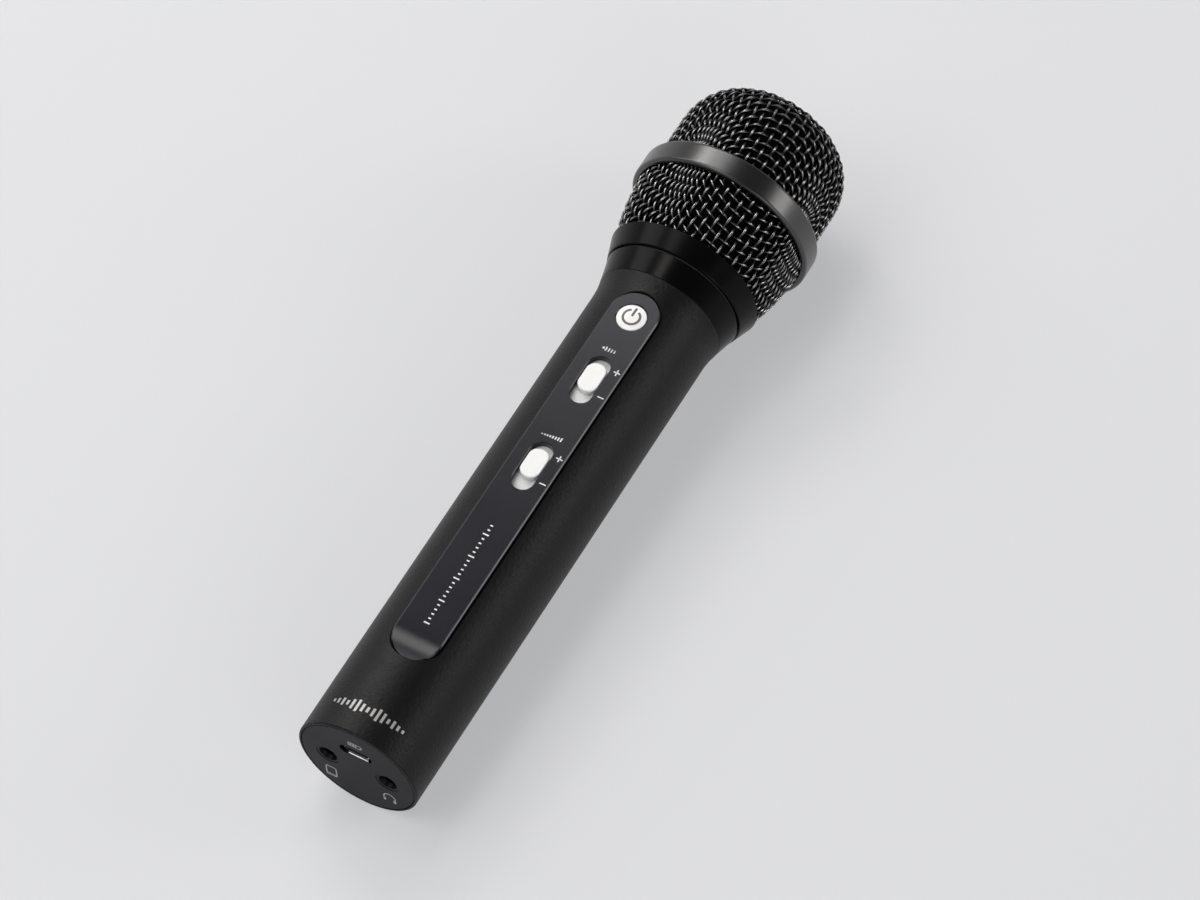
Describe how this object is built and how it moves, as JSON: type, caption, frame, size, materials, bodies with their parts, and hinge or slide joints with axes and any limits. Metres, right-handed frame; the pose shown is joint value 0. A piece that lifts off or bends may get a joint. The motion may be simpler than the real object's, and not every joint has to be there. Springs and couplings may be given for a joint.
{
  "type": "karaoke microphone",
  "caption": "Hand-held karaoke microphone with ball grille, control panel with power button and sliders, and a tail plate with charging and audio sockets.",
  "frame": {"origin": "centre of the tail plate's flat outer face, on the handle's axis", "axes": "+X along the handle from the tail to the head, +Z out through the control panel, +Y to the panel's left"},
  "size_m": [0.2279, 0.0536, 0.0536],
  "materials": {
    "barrel_shell": "fine grained soft-touch coating, matte",
    "dark_plastic": "moulded, matte",
    "panel_plastic": "satin",
    "white_plastic": "satin",
    "collar_plastic": "gloss",
    "black_metal": "satin",
    "grille_wire": "woven round wire, satin black paint",
    "foam": "open-cell acoustic foam, matte",
    "rubber": "matte",
    "felt": "matte",
    "circuit_board": "solder mask, satin",
    "chip_plastic": "matte",
    "steel": "satin",
    "can_metal": "satin",
    "contact_metal": "satin",
    "cell_wrap": "shrink-wrapped metal can, satin",
    "red_wire": "satin",
    "black_wire": "satin",
    "ribbon_film": "satin",
    "lamp_lens": "gloss",
    "pale_plastic": "matte"
  },
  "bodies": {
    "handle": {"barrel": "barrel_shell", "tail_plate": "dark_plastic", "control_panel": "panel_plastic", "neck_ring": "collar_plastic", "neck_gasket": "rubber", "capsule_post": "dark_plastic", "post_screws": "steel", "capsule_cradle": "rubber", "capsule": "can_metal", "capsule_felt": "felt", "capsule_board": "circuit_board", "capsule_plug": "pale_plastic", "capsule_cable": "black_wire", "chassis": "dark_plastic", "chassis_screws": "steel", "main_board": "circuit_board", "socket_board": "circuit_board", "board_screws": "steel", "echo_pot_base": "dark_plastic", "echo_pot_cover": "steel", "volume_pot_base": "dark_plastic", "volume_pot_cover": "steel", "push_switch": "dark_plastic", "button_lamp": "lamp_lens", "effect_chip": "chip_plastic", "amplifier_chip": "chip_plastic", "charger_chip": "chip_plastic", "capacitors": "can_metal", "small_components": "pale_plastic", "usb_shell": "steel", "usb_tongue": "chip_plastic", "phone_jack": "dark_plastic", "phone_jack_sleeve": "steel", "phone_jack_contacts": "contact_metal", "headphone_jack": "dark_plastic", "headphone_jack_sleeve": "steel", "headphone_jack_contacts": "contact_metal", "battery": "cell_wrap", "battery_board": "circuit_board", "battery_plug": "pale_plastic", "battery_lead_plus": "red_wire", "battery_lead_minus": "black_wire", "link_ribbon": "ribbon_film", "ribbon_clips": "pale_plastic"},
    "power": {"power_button": "white_plastic", "switch_plunger": "pale_plastic"},
    "echo": {"echo_knob": "white_plastic", "echo_wiper": "pale_plastic"},
    "volume": {"volume_knob": "white_plastic", "volume_wiper": "pale_plastic"},
    "head": {"head_ring": "black_metal", "lower_grille": "grille_wire", "grille_band": "black_metal", "upper_grille": "grille_wire", "dome_foam": "foam", "basket_foam": "foam"}
  },
  "joints": [
    {"name": "power_press", "type": "slide", "parent": "handle", "child": "power", "axis": [0, 0, -1], "range_m": [0, 0.0005], "stiffness_N_per_m": 900, "springref_m": -0.0008},
    {"name": "echo_slide", "type": "slide", "parent": "handle", "child": "echo", "axis": [1, 0, 0], "range_m": [-0.0041, 0.002]},
    {"name": "volume_slide", "type": "slide", "parent": "handle", "child": "volume", "axis": [1, 0, 0], "range_m": [-0.00425, 0.00185]},
    {"name": "head_unscrew", "type": "slide", "parent": "handle", "child": "head", "axis": [1, 0, 0], "range_m": [0, 0.045]}
  ]
}
